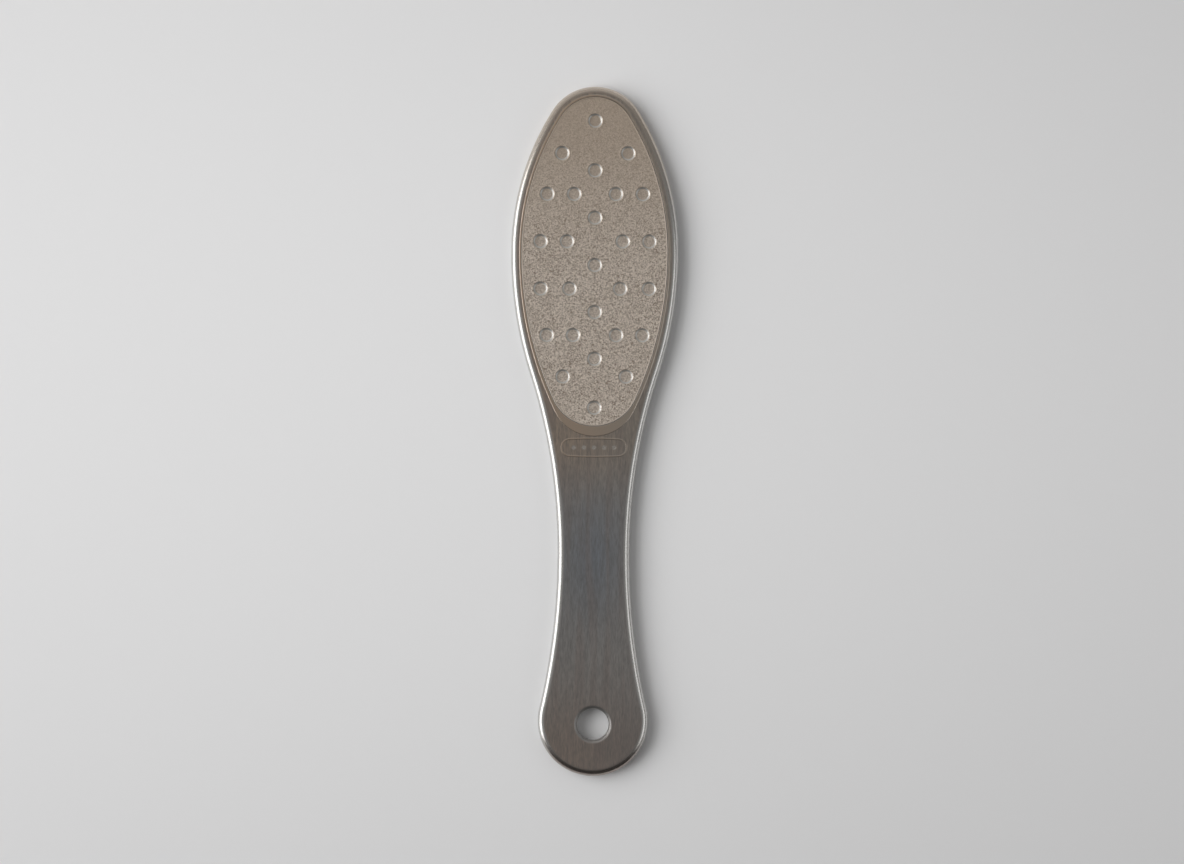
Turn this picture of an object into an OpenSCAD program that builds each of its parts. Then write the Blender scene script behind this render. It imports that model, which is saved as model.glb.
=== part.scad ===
// Two-sided stainless steel foot file, lying on its back plate with its head towards +Y.
// Two pressed half shells close over a moulded core and meet edge to edge at the middle plane.
// A dimpled file plate is bonded into a shallow seat on each side, inside a raised frame, and a drawn
// hole hangs the tool.

/* [Body] */
// Length from the end of the handle to the tip of the head
length = 205; // [180:1:230]
// Greatest width of the head
head_w = 49.8; // [46:0.2:56]
// Least width of the handle, at its waist
waist_w = 21.4; // [18:0.2:25]
// Width of the round end of the handle
end_w = 32.8; // [28:0.2:36]
// Radius of the tip of the head
tip_r = 15; // [12:0.5:19]
// Distance from the tip back to the widest place of the head
head_reach = 49.5; // [42:0.5:56]
// Distance from the end up to the waist
waist_reach = 66; // [56:1:76]
// Share of the neck's double curve that belongs to the head
neck_share = 0.4; // [0.3:0.05:0.55]
// Thickness over both shells
body_t = 4.2; // [3.8:0.1:5]

/* [Shells] */
// Thickness of the pressed steel sheet
sheet_t = 0.5; // [0.4:0.05:0.7]

/* [Hang hole] */
// Clear diameter of the hole
hole_d = 9.4; // [7:0.2:12]
// Distance from the end of the handle to the middle of the hole
hole_from_end = 15.4; // [13:0.2:20]
// Radius over which the sheet is drawn down into the hole
lip_r = 1.2; // [0.9:0.1:1.5]
// Width of the flat flange round the lip, where it blends into the shell
lip_flange = 0.8; // [0.4:0.1:1.5]

/* [File plates] */
// Length of the plate
plate_len = 97.7; // [80:0.1:100]
// Distance from the body's outline to the plate's outline, over the head
plate_margin = 3.2; // [2.8:0.1:4.5]
// Radius of the plate's lower end
plate_end_r = 13.3; // [10:0.1:16]
// Thickness of the plate
plate_t = 0.4; // [0.3:0.05:0.5]
// Height by which the plate stands above its frame
plate_proud = 0.05; // [0.05:0.05:0.15]

/* [Raised frame] */
// Height of the frame that is pressed up round each plate
frame_h = 0.1; // [0.05:0.05:0.15]
// Width of the flat ledge between the body's round edge and the frame, over the head
ledge_w = 0.3; // [0.2:0.05:0.4]
// Distance from the plate's lower end down to the frame's lower end
frame_drop = 3.1; // [1:0.1:4]
// Radius of the frame's lower end
frame_end_r = 13; // [10:0.1:15]

/* [Dimples] */
// Width of a dimple at the plate's face
dimple_d = 4.8; // [4:0.1:5.4]
// Width of a dimple's floor
dimple_floor_d = 3; // [2:0.1:3.6]
// Depth of a dimple
dimple_depth = 0.45; // [0.3:0.05:0.6]

/* [Bond films] */
// Thickness of the adhesive film under a plate
film_t = 0.1; // [0.05:0.05:0.2]
// Distance from the plate's edge to the film's edge
film_margin = 0.5; // [0.2:0.1:1.5]

/* [Clearances] */
// Gap between a plate's edge and the wall of its seat
seat_fit = 0.15; // [0.1:0.05:0.3]
// Gap between a pressed dimple and the pit that takes it
pit_fit = 0.05; // [0.03:0.01:0.1]
// Gap between a pressed dimple and the film's hole
film_hole_fit = 0.2; // [0.1:0.05:0.4]
// Gap between the core and the shells
core_fit = 0.05; // [0.02:0.01:0.1]

/* [Hidden] */
$fn = 72;
// Greatest distance between a drawn outline and its true arc
curve_sag = 0.02;
// How far a cutting shape runs past the face that it cuts
overrun = 0.3;
// Steps of the quarter round at the body's edge, outside and inside
rim_steps = 8;
lining_steps = 6;
core_steps = 4;

// Heights above the middle plane
face_z = body_t / 2;
frame_z = face_z + frame_h;
plate_z = frame_z + plate_proud;
film_z = plate_z - plate_t;
seat_z = film_z - film_t;
dish_z = seat_z - sheet_t;
middle_z = plate_z;

// Body outline, right half: a chain of arcs that meet without a corner
half_w = head_w / 2;
half_waist = waist_w / 2;
end_r = end_w / 2;
widest_y = length / 2 - head_reach;
waist_y = waist_reach - length / 2;
tip_y = length / 2 - tip_r;
end_y = end_r - length / 2;
crown_r = bulge_r(half_w, tip_y - widest_y, tip_r);
neck_run = widest_y - waist_y;
neck_sum = ((half_w - half_waist) ^ 2 + neck_run ^ 2) / (2 * (half_w - half_waist));
cheek_r = neck_share * neck_sum;
throat_r = neck_sum - cheek_r;
grip_r = -bulge_r(half_waist, waist_y - end_y, end_r);
crown_c = [half_w - crown_r, widest_y];
cheek_c = [half_w - cheek_r, widest_y];
throat_c = [half_waist + throat_r, waist_y];
grip_c = [half_waist + grip_r, waist_y];
tip_c = [0, tip_y];
end_c = [0, end_y];
grip_angle = bearing(end_c, grip_c);
neck_angle = bearing(cheek_c, throat_c);
crown_angle = bearing(crown_c, tip_c);
body_arcs = [
    [end_c, end_r, -90, grip_angle],
    [grip_c, -grip_r, grip_angle, 0],
    [throat_c, -throat_r, 0, neck_angle],
    [cheek_c, cheek_r, neck_angle, 0],
    [crown_c, crown_r, 0, crown_angle],
    [tip_c, tip_r, crown_angle, 90]
];

// Outlines of the plate and its frame, right half
plate_half_w = half_w - plate_margin;
plate_low_y = length / 2 - plate_margin - plate_len;
plate_arcs = head_arcs(plate_margin, plate_low_y, plate_end_r);
frame_arcs = head_arcs(body_t / 2 + ledge_w, plate_low_y - frame_drop, frame_end_r);

// Dimples on the middle line, as shares of the plate's length from its lower end
middle_shares = [0.055, 0.204, 0.346, 0.489, 0.633, 0.777, 0.928];
// Dimple pairs, as shares of the plate's half width and of its length
pair_shares = [
    [0.433, 0.150],
    [0.295, 0.276],
    [0.655, 0.276],
    [0.346, 0.417],
    [0.742, 0.417],
    [0.382, 0.561],
    [0.745, 0.561],
    [0.286, 0.705],
    [0.655, 0.705],
    [0.452, 0.829]
];
dimple_places = concat(
    [for (share = middle_shares) [0, plate_low_y + share * plate_len]],
    [for (side = [-1, 1], share = pair_shares)
        [side * share[0] * plate_half_w, plate_low_y + share[1] * plate_len]]
);

// A pressed dimple keeps its wall's slope through every layer that it nests in
dimple_run = (dimple_d - dimple_floor_d) / 2;
dimple_fall = dimple_depth / dimple_run;
dimple_growth = (sqrt(1 + dimple_fall ^ 2) - 1) / dimple_fall;
pocket_floor = [dimple_floor_d / 2, plate_z - dimple_depth];
bump_floor = pressed_floor(pocket_floor, plate_t);
pit_floor = pressed_floor(bump_floor, pit_fit);
dish_floor = pressed_floor(pit_floor, sheet_t);
core_floor = pressed_floor(dish_floor, core_fit);

hole_r = hole_d / 2;
hole_y = hole_from_end - length / 2;
lip_top_r = hole_r + lip_r;
core_z = face_z - sheet_t - core_fit;

// Radius of an arc that runs along the axis at half_w, and after a rise meets a round end of end_r
function bulge_r(half_w, rise, end_r) = (half_w ^ 2 + rise ^ 2 - end_r ^ 2) / (2 * (half_w - end_r));

function bearing(from, to) = atan2(to[1] - from[1], to[0] - from[0]);

// Arcs of a flat layer on the head, which has its crown and tip, and cheeks and a lower end of its own
function head_arcs(margin, low_y, low_r) =
    let (
        low_c = [0, low_y + low_r],
        side_r = bulge_r(half_w - margin, widest_y - low_c[1], low_r),
        side_c = [half_w - margin - side_r, widest_y],
        low_angle = bearing(side_c, low_c)
    )
    [
        [low_c, low_r, -90, low_angle],
        [side_c, side_r, low_angle, 0],
        [crown_c, crown_r - margin, 0, crown_angle],
        [tip_c, tip_r - margin, crown_angle, 90]
    ];

// Radius and height of a dimple's floor after one more layer has been laid under it
function pressed_floor(floor_at, layer) = [floor_at[0] + layer * dimple_growth, floor_at[1] - layer];

// Radius of a dimple's wall at a height above its floor
function pressed_radius(floor_at, z) = floor_at[0] + (z - floor_at[1]) / dimple_fall;

// A station is a point of the outline and its outward direction
function station(arc, angle) = [
    arc[0] + arc[1] * [cos(angle), sin(angle)],
    [cos(angle), sin(angle)]
];
function arc_steps(arc) = ceil(abs(arc[3] - arc[2]) / (2 * acos(1 - curve_sag / abs(arc[1]))));
function arc_stations(arc) = [
    for (i = [0 : arc_steps(arc) - 1]) station(arc, arc[2] + (arc[3] - arc[2]) * i / arc_steps(arc))
];
function half_outline(arcs) = [
    for (arc = arcs) each arc_stations(arc),
    station(arcs[len(arcs) - 1], 90)
];
function inset_point(s, inset) = s[0] - inset * s[1];

function mirrored(p) = [-p[0], p[1]];

// Whole outline drawn in by inset, anticlockwise from the middle of the lower end
function outline(arcs, inset) = let (half = half_outline(arcs), last = len(half) - 1) [
    for (i = [0 : last]) inset_point(half[i], inset),
    for (i = [last - 1 : -1 : 1]) mirrored(inset_point(half[i], inset))
];

// Quarter round in the plane of inset and height, from its outermost point up to its top
function quarter(radius, middle, steps) = [
    for (i = [0 : steps]) middle - radius * [cos(90 * i / steps), -sin(90 * i / steps)]
];
function reversed(list) = [for (i = [len(list) - 1 : -1 : 0]) list[i]];
function below(list) = [for (p = list) [p[0], -p[1]]];

// Triangles between ring j and the next, round a loop of n points
function wall_faces(j, n) = [
    for (i = [0 : n - 1])
        let (a = j * n + i, b = j * n + (i + 1) % n, c = b + n, d = a + n)
            each [[a, d, c], [a, c, b]]
];

// Triangles across one ring of n points, from right to left, facing up
function cap_faces(j, n) = [
    for (i = [0 : n / 2 - 1])
        let (a = j * n + i, b = a + 1, c = j * n + n - i - 1, d = j * n + (n - i) % n)
            each [if (i > 0) [a, d, c], if (i < n / 2 - 1) [a, c, b]]
];

// Solid swept round the body's outline by an edge section of [inset, height] points, capped at both ends
module swept_body(section) {
    half = half_outline(body_arcs);
    n = 2 * (len(half) - 1);
    points = [for (p = section) each [for (q = outline(body_arcs, p[0])) [q[0], q[1], p[1]]]];
    faces = [
        for (j = [0 : len(section) - 2]) each wall_faces(j, n),
        for (f = cap_faces(0, n)) [f[2], f[1], f[0]],
        each cap_faces(len(section) - 1, n)
    ];
    polyhedron(points = points, faces = faces, convexity = 4);
}

// Flat layer on the head between two heights, drawn in by inset
module flat_layer(arcs, inset, low, high) {
    translate([0, 0, low])
        linear_extrude(height = high - low)
            polygon(outline(arcs, inset));
}

// One dimple cone at each place, from its floor up to a height
module dimple_cones(floor_at, high) {
    for (place = dimple_places)
        translate([place[0], place[1], floor_at[1]])
            cylinder(h = high - floor_at[1], r1 = floor_at[0], r2 = pressed_radius(floor_at, high));
}

// Sheet drawn down round the hole to the middle plane
module hole_lip() {
    translate([0, hole_y, 0])
        rotate_extrude() {
            translate([lip_top_r, face_z - lip_r])
                intersection() {
                    difference() {
                        circle(r = lip_r);
                        circle(r = lip_r - sheet_t);
                    }
                    translate([-lip_r, 0])
                        square(lip_r);
                }
            translate([hole_r, 0])
                square([sheet_t, face_z - lip_r]);
            translate([lip_top_r, face_z - sheet_t])
                square([lip_flange, sheet_t]);
        }
}

// Seat pressed down into the sheet, with a pit under each dimple
module seat_dish() {
    difference() {
        union() {
            flat_layer(plate_arcs, -seat_fit - sheet_t, dish_z, seat_z);
            dimple_cones(dish_floor, dish_z + sheet_t / 2);
        }
        dimple_cones(pit_floor, seat_z + overrun);
    }
}

// Front half shell, with its seam edge on the middle plane
module half_shell() {
    difference() {
        union() {
            swept_body(concat(
                reversed(quarter(face_z - sheet_t, [face_z, 0], lining_steps)),
                quarter(face_z, [face_z, 0], rim_steps)
            ));
            flat_layer(frame_arcs, 0, face_z - sheet_t / 2, frame_z);
        }
        flat_layer(plate_arcs, -seat_fit, dish_z - overrun, frame_z + overrun);
        translate([0, hole_y, 0])
            cylinder(h = face_z + overrun, r = lip_top_r);
    }
    seat_dish();
    hole_lip();
}

// Front file plate, with its dimples pressed through
module half_plate() {
    difference() {
        union() {
            flat_layer(plate_arcs, 0, film_z, plate_z);
            dimple_cones(bump_floor, film_z + plate_t / 2);
        }
        dimple_cones(pocket_floor, plate_z + overrun);
    }
}

// Front bond film, punched clear of the dimples
module half_film() {
    difference() {
        flat_layer(plate_arcs, film_margin, seat_z, film_z);
        for (place = dimple_places)
            translate([place[0], place[1], seat_z - overrun])
                cylinder(h = film_t + 2 * overrun, r = pressed_radius(bump_floor, film_z) + film_hole_fit);
    }
}

// Room that the core leaves for the front seat and the front mouth of the hole
module half_core_room() {
    flat_layer(plate_arcs, -seat_fit - sheet_t - core_fit, dish_z - core_fit, face_z);
    dimple_cones(core_floor, dish_z);
    translate([0, hole_y, face_z - lip_r])
        cylinder(h = lip_r, r1 = hole_r + sheet_t + core_fit, r2 = hole_r + sheet_t + core_fit + lip_r);
}

module both_sides() {
    children();
    mirror([0, 0, 1])
        children();
}

module front_shell() {
    color("silver")
        translate([0, 0, middle_z])
            half_shell();
}

module back_shell() {
    color("lightgray")
        translate([0, 0, middle_z])
            mirror([0, 0, 1])
                half_shell();
}

module core() {
    edge = quarter(core_z, [face_z, 0], core_steps);
    color("dimgray")
        translate([0, 0, middle_z])
            difference() {
                swept_body(concat(below(reversed(edge)), [for (i = [1 : core_steps]) edge[i]]));
                both_sides()
                    half_core_room();
                translate([0, hole_y, -face_z])
                    cylinder(h = body_t, r = hole_r + sheet_t + core_fit);
            }
}

module front_file_plate() {
    color("rosybrown")
        translate([0, 0, middle_z])
            half_plate();
}

module back_file_plate() {
    color("tan")
        translate([0, 0, middle_z])
            mirror([0, 0, 1])
                half_plate();
}

module front_bond_film() {
    color("khaki")
        translate([0, 0, middle_z])
            half_film();
}

module back_bond_film() {
    color("khaki")
        translate([0, 0, middle_z])
            mirror([0, 0, 1])
                half_film();
}

front_shell();
back_shell();
core();
front_file_plate();
back_file_plate();
front_bond_film();
back_bond_film();
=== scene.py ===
"""Looks of a two-sided stainless steel foot file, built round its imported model.

The tool lies on its back plate with its head towards +Y. Two pressed half shells meet at a fine
seam. Each carries a raised frame, a seat with a dimpled file plate and a drawn lip at the hang
hole. Lengths are in metres. A half is modelled upwards from the seam, and its side then places it.
"""

import logging
import math
import random
from collections.abc import Callable, Iterable, Mapping, Sequence
from dataclasses import dataclass, field
from enum import Enum

import bmesh
import bpy
from bmesh.types import BMesh, BMFace, BMVert
from mathutils import Matrix, Vector, noise


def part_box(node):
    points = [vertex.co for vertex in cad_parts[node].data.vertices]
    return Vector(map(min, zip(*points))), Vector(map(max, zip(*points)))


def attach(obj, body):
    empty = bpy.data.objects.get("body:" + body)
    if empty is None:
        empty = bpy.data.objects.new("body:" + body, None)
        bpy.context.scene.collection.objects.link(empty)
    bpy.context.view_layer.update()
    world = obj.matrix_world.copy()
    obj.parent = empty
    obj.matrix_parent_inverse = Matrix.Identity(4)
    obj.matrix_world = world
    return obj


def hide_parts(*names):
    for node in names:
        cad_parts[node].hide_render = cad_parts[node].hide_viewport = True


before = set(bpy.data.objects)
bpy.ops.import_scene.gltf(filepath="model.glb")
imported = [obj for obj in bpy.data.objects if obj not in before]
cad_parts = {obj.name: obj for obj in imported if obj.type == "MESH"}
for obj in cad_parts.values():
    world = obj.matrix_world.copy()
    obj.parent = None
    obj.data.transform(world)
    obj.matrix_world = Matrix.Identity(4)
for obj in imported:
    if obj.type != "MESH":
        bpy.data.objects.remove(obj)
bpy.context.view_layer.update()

LOG = logging.getLogger("foot_file")
MM = 0.001
TOUCH = 1e-7

# Material place that marks the faces of a flat until the piece is finished
FLAT = 1

# Greatest distance between a chord and its arc
SAG = 0.004 * MM

# Width of the flat strip that is left round a swept or turned shape
FLAT_RUN = 0.03 * MM

# Chords in a turned pressing
PIT_STEPS = 28

# Numbers stored at each vertex of a shell and of a plate, for their materials to read
STEEL_MASKS = ("polish", "satin", "etch", "dull_and_shaded")
PLATE_MASKS = ("grit", "rubbed")

# Bands of a noise that are spread over 0 to 1
LINE_BAND = (0.38, 0.62)
TINT_BAND = (0.42, 0.7)
GRAIN_BAND = (0.25, 0.75)
SOFT_BAND = (0.3, 0.7)

# Clumps of grains: their fineness against one grain's, and their share of the height
CLUMP_FINENESS = 0.3
CLUMP_SHARE = 0.3

UP = (0.0, 0.0, 1.0)

Section = list[tuple[float, float]]
Places = list[tuple[float, float]]
Band = tuple[float, float]
Colour = tuple[float, float, float]
Inputs = dict[int | str, object]
Outputs = Mapping[str, object]


class Side(Enum):
    """The face of the tool that a piece belongs to, as the direction it faces along Z."""

    FRONT = 1
    BACK = -1


# Outlines


@dataclass(frozen=True)
class Arc:
    """One arc of an outline's right half.

    The radius is below zero where the outline is hollow. Angles are in degrees.
    """

    x: float
    y: float
    radius: float
    start: float
    end: float

    def steps(self) -> int:
        """Counts the chords that the arc needs."""
        chord = 2 * math.acos(1 - SAG / abs(self.radius))
        return math.ceil(abs(math.radians(self.end - self.start)) / chord)

    def angle_at(self, y: float, inset: float) -> float:
        """Gives the angle, in radians, where the arc drawn in by inset reaches a height."""
        return math.asin(max(-1.0, min(1.0, (y - self.y) / (self.radius - inset))))


@dataclass(frozen=True)
class Outline:
    """Closed outline, the same left and right, as arcs from its lower end up to its upper end."""

    arcs: tuple[Arc, ...]

    def low_y(self, inset: float = 0.0) -> float:
        """Gives the height of the lower end, drawn in by inset."""
        return self.arcs[0].y - self.arcs[0].radius + inset

    def high_y(self, inset: float = 0.0) -> float:
        """Gives the height of the upper end, drawn in by inset."""
        return self.arcs[-1].y + self.arcs[-1].radius - inset

    def edge_at(self, y: float, inset: float = 0.0) -> tuple[float, Vector]:
        """Finds the right edge of a bulging outline at a height.

        Args:
            y: The height.
            inset: Distance that the outline is drawn in.

        Returns:
            The half width there, and the outward direction.
        """
        for arc in self.arcs:
            top = arc.y + (arc.radius - inset) * math.sin(math.radians(arc.end))
            if y <= top or arc is self.arcs[-1]:
                angle = arc.angle_at(y, inset)
                half_width = arc.x + (arc.radius - inset) * math.cos(angle)
                return half_width, Vector((math.cos(angle), math.sin(angle), 0.0))
        raise ValueError("an outline has at least one arc")


def bearing(start: tuple[float, float], end: tuple[float, float]) -> float:
    """Gives the direction from one point to another, in degrees."""
    return math.degrees(math.atan2(end[1] - start[1], end[0] - start[0]))


def bulge_radius(half_width: float, rise: float, end_radius: float) -> float:
    """Gives the arc that runs along the tool at half_width and after rise meets a round end."""
    return (half_width**2 + rise**2 - end_radius**2) / (2 * (half_width - end_radius))


@dataclass(frozen=True)
class ToolShape:
    """Driving sizes of the tool's outline, and the outlines drawn from them."""

    length: float
    head_width: float
    waist_width: float = 21.4 * MM
    end_width: float = 32.8 * MM
    tip_radius: float = 15 * MM
    head_reach: float = 49.5 * MM
    waist_reach: float = 66 * MM
    neck_share: float = 0.4

    @property
    def widest_y(self) -> float:
        """Height of the widest place of the head."""
        return self.length / 2 - self.head_reach

    def crown(self, margin: float) -> tuple[Arc, Arc]:
        """Draws the upper half of the head.

        Args:
            margin: Distance that it is drawn in.

        Returns:
            The side arc and the tip arc.
        """
        half = self.head_width / 2
        tip_y = self.length / 2 - self.tip_radius
        radius = bulge_radius(half, tip_y - self.widest_y, self.tip_radius)
        turn = bearing((half - radius, self.widest_y), (0.0, tip_y))
        return (
            Arc(half - radius, self.widest_y, radius - margin, 0, turn),
            Arc(0.0, tip_y, self.tip_radius - margin, turn, 90),
        )

    def body(self) -> Outline:
        """Draws the whole body: round end, waist, neck and head."""
        half, waist, end = self.head_width / 2, self.waist_width / 2, self.end_width / 2
        waist_y = self.waist_reach - self.length / 2
        end_y = end - self.length / 2
        run, step = self.widest_y - waist_y, half - waist
        neck = (step**2 + run**2) / (2 * step)
        cheek, throat = self.neck_share * neck, (1 - self.neck_share) * neck
        grip = -bulge_radius(waist, waist_y - end_y, end)
        grip_turn = bearing((0.0, end_y), (waist + grip, waist_y))
        neck_turn = bearing((half - cheek, self.widest_y), (waist + throat, waist_y))
        return Outline((
            Arc(0.0, end_y, end, -90, grip_turn),
            Arc(waist + grip, waist_y, -grip, grip_turn, 0),
            Arc(waist + throat, waist_y, -throat, 0, neck_turn),
            Arc(half - cheek, self.widest_y, cheek, neck_turn, 0),
            *self.crown(0.0),
        ))

    def on_head(self, margin: float, low_y: float, low_radius: float) -> Outline:
        """Draws a flat layer on the head.

        Args:
            margin: Distance from the body's outline over the crown and tip.
            low_y: Height of the layer's lower end.
            low_radius: Radius of the lower end.

        Returns:
            The layer's outline.
        """
        half, low_middle = self.head_width / 2 - margin, low_y + low_radius
        side = bulge_radius(half, self.widest_y - low_middle, low_radius)
        turn = bearing((half - side, self.widest_y), (0.0, low_middle))
        return Outline((
            Arc(0.0, low_middle, low_radius, -90, turn),
            Arc(half - side, self.widest_y, side, turn, 0),
            *self.crown(margin),
        ))


# Mesh helpers


def in_mm(*lengths: float) -> tuple[float, ...]:
    """Gives lengths in millimetres as lengths in metres."""
    return tuple(length * MM for length in lengths)


def quarter(radius: float, middle: tuple[float, float], start: float, steps: int,
            wide: float = 0.0) -> Section:
    """Lists a quarter circle clockwise from start degrees, or an ellipse of half width wide."""
    turns = [math.radians(start - 90 * i / steps) for i in range(steps + 1)]
    x, z = middle
    return [(x + (wide or radius) * math.cos(a), z + radius * math.sin(a)) for a in turns]


def ease(share: float) -> float:
    """Turns a share from 0 to 1 into one that starts and ends gently."""
    share = max(0.0, min(1.0, share))
    return share * share * (3 - 2 * share)


def section_geometry(bm: BMesh, points: Iterable[tuple[float, float, float]]) -> list:
    """Adds an open run of vertices through the points, and gives them with their edges."""
    verts = [bm.verts.new(p) for p in points]
    return verts + [bm.edges.new(pair) for pair in zip(verts, verts[1:])]


def draw_out(bm: BMesh) -> list[BMVert]:
    """Extrudes all open edges.

    Args:
        bm: The mesh.

    Returns:
        The new vertices, which lie on the old ones.
    """
    edges = [e for e in bm.edges if e.is_boundary]
    made = bmesh.ops.extrude_edge_only(bm, edges=edges)["geom"]
    return [item for item in made if isinstance(item, BMVert)]


def sweep(bm: BMesh, outline: Outline, section: Section) -> None:
    """Spins a section along an outline's right half, arc by arc, and mirrors it to the left.

    Args:
        bm: The mesh to add to.
        outline: The outline to follow.
        section: Points as distances inwards from the outline and heights.
    """
    known = {*bm.verts, *bm.edges, *bm.faces}
    base = outline.low_y()
    geom = section_geometry(bm, [(0.0, base + inset, height) for inset, height in section])
    for arc in outline.arcs:
        spun = bmesh.ops.spin(
            bm, geom=geom, cent=(arc.x, arc.y, 0.0), axis=UP,
            angle=math.radians(arc.end - arc.start), steps=arc.steps(),
        )
        geom = spun["geom_last"]
    made = [item for item in (*bm.verts, *bm.edges, *bm.faces) if item not in known]
    bmesh.ops.mirror(bm, geom=made, merge_dist=TOUCH, axis="X")


def new_mesh(bm: BMesh, name: str) -> bpy.types.Mesh:
    """Makes a mesh of a bmesh, which is freed.

    Args:
        bm: The bmesh.
        name: The mesh's name.

    Returns:
        The mesh.
    """
    mesh = bpy.data.meshes.new(name)
    bm.to_mesh(mesh)
    bm.free()
    return mesh


def link(name: str, data: bpy.types.ID) -> bpy.types.Object:
    """Makes an object of a mesh, lamp or camera, and puts it in the scene.

    Args:
        name: The object's name.
        data: What it is made of.

    Returns:
        The object.
    """
    made = bpy.data.objects.new(name, data)
    bpy.context.scene.collection.objects.link(made)
    return made


def stamp(bm: BMesh, section: Section, steps: int, places: Places) -> None:
    """Turns a section about an upright axis, and copies the turned shape to each place.

    Args:
        bm: The mesh to add to.
        section: Points as distances from the axis and heights.
        steps: Number of chords in the turn.
        places: Where the axis stands.
    """
    shape = bmesh.new()
    geom = section_geometry(shape, [(out, 0.0, height) for out, height in section])
    bmesh.ops.spin(
        shape, geom=geom, cent=(0.0, 0.0, 0.0), axis=UP, angle=2 * math.pi, steps=steps,
        use_merge=True,
    )
    bmesh.ops.remove_doubles(shape, verts=shape.verts, dist=TOUCH)
    mesh = new_mesh(shape, "turned")
    for x, y in places:
        mesh.transform(Matrix.Translation((x, y, 0.0)))
        bm.from_mesh(mesh)
        mesh.transform(Matrix.Translation((-x, -y, 0.0)))
    bpy.data.meshes.remove(mesh)


def fill_level(bm: BMesh, height: float) -> None:
    """Fills the flat between all open edges at one height, and marks its faces with material FLAT.

    Args:
        bm: The mesh to fill.
        height: Height of the flat.
    """
    edges = [
        e for e in bm.edges
        if e.is_boundary and all(abs(v.co.z - height) < TOUCH for v in e.verts)
    ]
    filled = bmesh.ops.triangle_fill(bm, use_beauty=True, edges=edges, normal=UP)
    for face in (item for item in filled["geom"] if isinstance(item, BMFace)):
        face.material_index = FLAT


# Node helpers


class Bench:
    """Adds nodes to one tree and joins their sockets."""

    def __init__(self, tree: bpy.types.NodeTree) -> None:
        """Starts on a tree."""
        self.tree = tree

    def put(self, source: object, socket: bpy.types.NodeSocket) -> None:
        """Joins an output to a socket, or sets the socket's own value.

        Args:
            source: An output socket, a number, a vector or a colour.
            socket: The input.
        """
        if isinstance(source, bpy.types.NodeSocket):
            self.tree.links.new(source, socket)
        else:
            socket.default_value = (*source, 1.0) if socket.type == "RGBA" else source

    def add(self, kind: str, inputs: Inputs | None = None, **settings: object) -> bpy.types.Node:
        """Adds one node.

        Args:
            kind: The node's type.
            inputs: What goes into each socket, by the socket's name or place.
            **settings: Properties to set on it.

        Returns:
            The node.
        """
        node = self.tree.nodes.new(kind)
        for name, value in settings.items():
            setattr(node, name, value)
        for key, source in (inputs or {}).items():
            self.put(source, node.inputs[key])
        return node

    def math(self, operation: str, *values: object) -> bpy.types.NodeSocket:
        """Adds a Math node for values in the order of its sockets."""
        return self.add("ShaderNodeMath", dict(enumerate(values)), operation=operation).outputs[0]

    def times(self, first: object, second: object) -> bpy.types.NodeSocket:
        """Multiplies two values."""
        return self.math("MULTIPLY", first, second)

    def rest(self, share: object) -> bpy.types.NodeSocket:
        """Gives what a share leaves of 1."""
        return self.math("SUBTRACT", 1.0, share)

    def total(self, start: object, *parts: tuple[object, object]) -> bpy.types.NodeSocket:
        """Adds up products.

        Args:
            start: The value that they are added to.
            *parts: The two values of each product.

        Returns:
            The total.
        """
        for first, second in parts:
            start = self.math("MULTIPLY_ADD", first, second, start)
        return start

    def range(self, value: object, low: float, high: float, to_low: object = 0.0,
              to_high: object = 1.0, kind: str = "SMOOTHSTEP") -> bpy.types.NodeSocket:
        """Maps a value from low and high to another pair, and stops at the ends."""
        inputs = dict(enumerate((value, low, high, to_low, to_high)))
        return self.add("ShaderNodeMapRange", inputs, interpolation_type=kind).outputs[0]

    def mix(self, share: object, first: object, second: object) -> bpy.types.NodeSocket:
        """Mixes two colours by a share."""
        inputs = {"Factor": share, 6: first, 7: second}
        return self.add("ShaderNodeMix", inputs, data_type="RGBA").outputs[2]

    def noise(self, vector: object, scale: object, detail: float) -> bpy.types.NodeSocket:
        """Adds a noise texture and gives its value, about 0.5 on average."""
        inputs = {"Vector": vector, "Scale": scale, "Detail": detail}
        return self.add("ShaderNodeTexNoise", inputs).outputs[0]

    def mask(self, name: str) -> bpy.types.NodeSocket:
        """Reads a number that is stored at each vertex."""
        return self.add("ShaderNodeAttribute", attribute_name=name).outputs["Fac"]

    def axes(self, vector: object) -> Sequence[bpy.types.NodeSocket]:
        """Splits a vector into X, Y and Z."""
        return self.add("ShaderNodeSeparateXYZ", {0: vector}).outputs

    def bump(self, height: object, depth: float) -> bpy.types.NodeSocket:
        """Makes a normal from heights of 0 to 1, where depth is the real height of 1."""
        inputs = {"Strength": 1.0, "Distance": depth, "Height": height}
        return self.add("ShaderNodeBump", inputs).outputs[0]


def streaks(bench: Bench, vector: object, fineness: object, across: float, along: float,
            detail: float) -> bpy.types.NodeSocket:
    """Draws noise that is scaled one way across the tool and another way along it."""
    inputs = {"Vector": vector, "Scale": (across, along, across)}
    return bench.noise(bench.add("ShaderNodeMapping", inputs).outputs[0], fineness, detail)


def brush_lines(bench: Bench, vector: object, fineness: object) -> Outputs:
    """Draws brush lines along the tool in three widths, and broad streaks of tint.

    Args:
        bench: The group's bench.
        vector: The group's coordinates.
        fineness: The group's scale.

    Returns:
        The group's outputs.
    """
    lines = 0.0
    for across, along, share in ((4.2, 0.6, 0.42), (1.9, 0.26, 0.36), (0.7, 0.07, 0.2)):
        width = streaks(bench, vector, fineness, across, along, detail=2.0)
        lines = bench.total(lines, (width, share))
    broad = streaks(bench, vector, fineness, across=0.42, along=0.025, detail=1.0)
    return {
        "Lines": bench.range(lines, *LINE_BAND, kind="LINEAR"),
        "Tints": bench.range(broad, *TINT_BAND),
    }


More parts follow.
